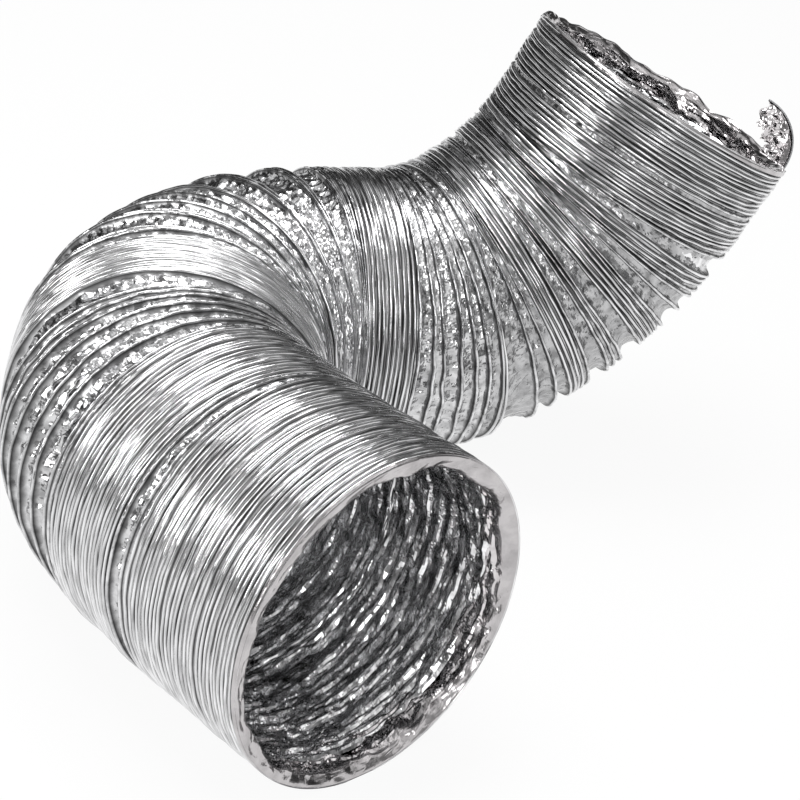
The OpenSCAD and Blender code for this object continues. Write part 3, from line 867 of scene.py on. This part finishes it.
def add_hems():
    """The hems of both mouths."""
    front = hem_piece("front_hem_band", 401, rear=False, rough_at=-65)
    dress(front, HEM_FOIL, "front_leg", ["front_hem"])
    rear = hem_piece("rear_hem_band", 431, rear=True, rough_at=200)
    dress(rear, HEM_FOIL, "rear_collar", ["rear_hem"])


# ---------------------------------------------------------------- loose strip at the rear mouth
TAIL_AT, TAIL_CURL, TAIL_LONG, TAIL_WIDE = 298.0, 26.0, 43.0, 15.0
TAIL_RIM_R, TAIL_CLEAR = 76.95, 0.2  # where it leaves the rim, and how far behind the mouth's plane
TAIL_ROWS, TAIL_COLUMNS = 46, 15
TAIL_THICK, TAIL_BRIGHTER = 0.4, 0.32
DENT_LONG, DENT_WIDE = 4.9, 2.2  # rows and columns in each dent
TAIL_WIRE_STEPS, TAIL_WIRE_SIDES = 60, 10


def tail_plane():
    """Centre of the strip's curl, and the outward and rearward directions of its plane."""
    side, way, up = LINE[-1]["axes"]
    a = math.radians(TAIL_AT)
    outward = math.cos(a) * side + math.sin(a) * up
    end, _ = ring_at(LENGTH)
    return end + outward * (TAIL_RIM_R - TAIL_CURL) + way * TAIL_CLEAR, outward, way


def tail_faces():
    """The strip's two faces, each point row by row from its root and across it."""
    centre, outward, way = tail_plane()
    across = np.cross(way, outward)
    turn = np.linspace(0, TAIL_LONG / TAIL_CURL, TAIL_ROWS)[:, None]
    inward = np.linspace(0, 1, TAIL_COLUMNS)[None, :]
    gen = np.random.default_rng(77)
    bumps = gen.normal(0, 1, (TAIL_ROWS // 3 + 2, TAIL_COLUMNS // 2 + 2))
    iu = (turn * TAIL_ROWS / DENT_LONG).astype(int) + 0 * inward.astype(int)
    iv = (inward * TAIL_COLUMNS / DENT_WIDE).astype(int) + 0 * turn.astype(int)
    bump = bumps[np.clip(iu, 0, bumps.shape[0] - 1), np.clip(iv, 0, bumps.shape[1] - 1)]
    ragged = 1 + 0.10 * np.sin(turn * 9) + 0.05 * np.sin(turn * 31 + 1)
    wide = TAIL_WIDE * ragged * (1 - 0.22 * (turn / turn.max()) ** 6)
    turn = turn * (1 - 0.05 * np.sin(inward * 9))
    radius = TAIL_CURL - WIRE_THICK / 2 - wide * inward
    lift = 0.5 * bump * np.sin(np.pi * inward) + 0.8 * np.sin(turn * 4) * inward
    out, along = (radius * np.cos(turn))[..., None], (radius * np.sin(turn))[..., None]
    flat = centre + out * outward + along * way
    return [flat + (lift + side * TAIL_THICK / 2)[..., None] * across for side in (1, -1)]


def sheet_faces(rows, columns):
    """Faces of a closed sheet whose upper and then lower points lie row by row."""
    index = np.arange(rows * columns).reshape(rows, columns)
    top = np.stack([index[:-1, :-1], index[1:, :-1], index[1:, 1:], index[:-1, 1:]], -1).reshape(-1, 4)
    under = top[:, ::-1] + rows * columns
    rim = np.concatenate([index[:, 0], index[-1, 1:], index[-2::-1, -1], index[0, -2:0:-1]])
    following = np.roll(rim, -1)
    edge = np.stack([rim, following, following + rows * columns, rim + rows * columns], -1)
    return np.concatenate([top, under, edge])


def add_tail_foil():
    """The loose strip of foil, torn free at the rear rim and curled in over the mouth."""
    points = np.concatenate([face.reshape(-1, 3) for face in tail_faces()])
    piece = make_mesh("loose_strip", points, sheet_faces(TAIL_ROWS, TAIL_COLUMNS))
    at = np.array([v.co for v in piece.data.vertices])
    remember(piece, "straight_at", at)
    remember(piece, "coil_at", at * 400)
    remember(piece, "groove_shadow", np.full(len(at), -TAIL_BRIGHTER), "FLOAT")
    dress(piece, HEM_FOIL, "tail", ["tail_foil"])


def add_tail_wire():
    """The cut end of the wire, along the strip's outer edge."""
    centre, outward, way = tail_plane()
    turn = np.linspace(0, TAIL_LONG / TAIL_CURL, TAIL_WIRE_STEPS)[:, None]
    core = centre + TAIL_CURL * (np.cos(turn) * outward + np.sin(turn) * way)
    out = (core - centre) / TAIL_CURL
    ring = round_angles(TAIL_WIRE_SIDES)[:, None]
    section = out[:, None] * np.cos(ring) + np.cross(way, outward) * np.sin(ring)
    points = core[:, None] + WIRE_THICK / 2 * section
    piece = make_mesh("loose_wire_end", points, grid_faces(TAIL_WIRE_STEPS, TAIL_WIRE_SIDES))
    dress(piece, STEEL, "tail", ["tail_wire"])


add_skin_and_wire()
add_lining()
add_hems()
add_tail_foil()
add_tail_wire()


# ---------------------------------------------------------------- camera, light and floor
FRAME_PX, SENSOR_MM = 800, 36


def add_camera():
    """Camera at the viewing angle of the photograph, as found by a scratch fit: degrees and mm."""
    focal_px, distance, elevation, roll, yaw = 2102.2, 872.3, 26.71, 9.05, 46.47
    mouth_px = (384.77, 625.06)
    e, r, h = (math.radians(v) for v in (elevation, roll, yaw))
    back = np.array([0, -math.cos(e), math.sin(e)])
    level = np.array([1.0, 0, 0])
    upright = np.array([0, math.sin(e), math.cos(e)])
    right = level * math.cos(r) + upright * math.sin(r)
    up = -level * math.sin(r) + upright * math.cos(r)
    across = (mouth_px[0] - FRAME_PX / 2) / focal_px * distance
    above = (FRAME_PX / 2 - mouth_px[1]) / focal_px * distance
    at = -(right * across + up * above - back * distance)
    turn = np.array([[math.cos(h), math.sin(h), 0], [-math.sin(h), math.cos(h), 0], [0, 0, 1]])
    at, right, up, back = (turn @ v for v in (at, right, up, back))
    data = bpy.data.cameras.new("camera")
    data.sensor_width = SENSOR_MM
    data.lens = focal_px / FRAME_PX * SENSOR_MM
    data.clip_start = 0.01
    camera = bpy.data.objects.new("camera", data)
    bpy.context.scene.collection.objects.link(camera)
    place = Matrix((right, up, back)).transposed().to_4x4()
    place.translation = Vector(at * MM)
    camera.matrix_world = place
    bpy.context.scene.camera = camera


def area_light(name, at, target, size, power):
    """A white lamp in metres and watts, turned to its target."""
    data = bpy.data.lights.new(name, "AREA")
    data.shape = "RECTANGLE"
    data.size, data.size_y = size
    data.energy = power
    lamp = bpy.data.objects.new(name, data)
    bpy.context.scene.collection.objects.link(lamp)
    lamp.location = at
    lamp.rotation_euler = (Vector(target) - Vector(at)).to_track_quat("-Z", "Y").to_euler()


# brightness of the studio by height: 0 straight down, 0.5 level, 1 straight up
WALL_BEHIND = [(0.0, 0.5), (0.47, 0.45), (0.52, 0.06), (0.72, 0.05), (0.77, 0.30), (0.84, 0.80),
               (0.93, 1.0), (1.0, 0.95)]
WALL_BEFORE = [(0.0, 0.5), (0.5, 0.5), (0.56, 0.40), (0.70, 0.28), (0.80, 0.60), (0.92, 1.0),
               (1.0, 0.95)]


def add_world():
    """A studio: pale sides toward the viewer, a dark wall far behind the duct and a bright ceiling."""
    world = bpy.data.worlds.new("studio")
    bpy.context.scene.world = world
    world.use_nodes = True
    nodes, links = world.node_tree.nodes, world.node_tree.links
    nodes.clear()
    out = nodes.new("ShaderNodeOutputWorld")
    light = nodes.new("ShaderNodeBackground")
    place = nodes.new("ShaderNodeTexCoord")
    split = nodes.new("ShaderNodeSeparateXYZ")
    links.new(place.outputs["Generated"], split.inputs[0])
    height = add_node(nodes, "ShaderNodeMapRange", from_min=-1)
    links.new(split.outputs["Z"], height.inputs["Value"])
    facing = add_node(nodes, "ShaderNodeVectorMath", "DOT_PRODUCT")
    facing.inputs[1].default_value = (-0.6, -0.8, 0.0)
    links.new(place.outputs["Generated"], facing.inputs[0])
    front = add_node(nodes, "ShaderNodeMapRange", from_min=-0.35, from_max=0.45)
    front.interpolation_type = "SMOOTHSTEP"
    links.new(facing.outputs["Value"], front.inputs["Value"])
    both = nodes.new("ShaderNodeMix")
    both.data_type = "RGBA"
    links.new(front.outputs["Result"], both.inputs[0])
    for socket, wall in ((6, WALL_BEHIND), (7, WALL_BEFORE)):
        ramp = add_ramp(nodes, [(at, (value, value, value)) for at, value in wall])
        links.new(height.outputs["Result"], ramp.inputs["Fac"])
        links.new(ramp.outputs["Color"], both.inputs[socket])
    links.new(both.outputs[2], light.inputs["Color"])
    patches = add_node(nodes, "ShaderNodeTexNoise", scale=2.6, detail=1.0)
    links.new(place.outputs["Generated"], patches.inputs["Vector"])
    edges = add_node(nodes, "ShaderNodeMapRange", from_min=0.42, from_max=0.56, to_min=0.4, to_max=1.2)
    links.new(patches.outputs["Fac"], edges.inputs["Value"])
    links.new(edges.outputs["Result"], light.inputs["Strength"])
    links.new(light.outputs[0], out.inputs["Surface"])


FLOOR_HALF, FLOOR_CLEAR = 6.0, 0.0002
FLOOR_WHITE = 0.92  # how much of the floor's look is plain white, where it is seen or mirrored


def add_floor():
    """A pale floor that looks nearly white to the camera and in the foil."""
    mesh = bpy.data.meshes.new("floor")
    z = FLOOR_Z * MM - FLOOR_CLEAR
    corners = [(-FLOOR_HALF, -FLOOR_HALF, z), (FLOOR_HALF, -FLOOR_HALF, z),
               (FLOOR_HALF, FLOOR_HALF, z), (-FLOOR_HALF, FLOOR_HALF, z)]
    mesh.from_pydata(corners, [], [(0, 1, 2, 3)])
    floor = bpy.data.objects.new("floor", mesh)
    bpy.context.scene.collection.objects.link(floor)
    material, nodes, links, shader = node_material("pale_floor")
    shader.inputs["Base Color"].default_value = (0.9, 0.9, 0.9, 1)
    shader.inputs["Roughness"].default_value = 0.9
    white = add_node(nodes, "ShaderNodeEmission", color=(1, 1, 1, 1), strength=1.0)
    ray = nodes.new("ShaderNodeLightPath")
    seen = ray.outputs["Is Camera Ray"]
    for kind in ("Is Glossy Ray", "Is Transmission Ray"):
        either = add_node(nodes, "ShaderNodeMath", "MAXIMUM")
        links.new(seen, either.inputs[0])
        links.new(ray.outputs[kind], either.inputs[1])
        seen = either.outputs[0]
    part = add_node(nodes, "ShaderNodeMath", "MULTIPLY")
    part.inputs[1].default_value = FLOOR_WHITE
    links.new(seen, part.inputs[0])
    mix = nodes.new("ShaderNodeMixShader")
    links.new(part.outputs[0], mix.inputs["Fac"])
    links.new(shader.outputs[0], mix.inputs[1])
    links.new(white.outputs[0], mix.inputs[2])
    links.new(mix.outputs[0], nodes["Material Output"].inputs["Surface"])
    floor.data.materials.append(material)


add_camera()
add_world()
add_floor()
area_light("key", (0.12, 0.42, 1.35), (0.13, 0.16, 0), (1.35, 0.5), 13)
area_light("fill", (-0.9, -1.6, 0.9), (0.1, 0.1, 0), (0.9, 0.9), 8)
area_light("side", (-1.0, 0.24, 0.48), (0.26, 0.157, 0.13), (0.5, 0.5), 4)
bpy.context.scene.view_settings.view_transform = "Standard"
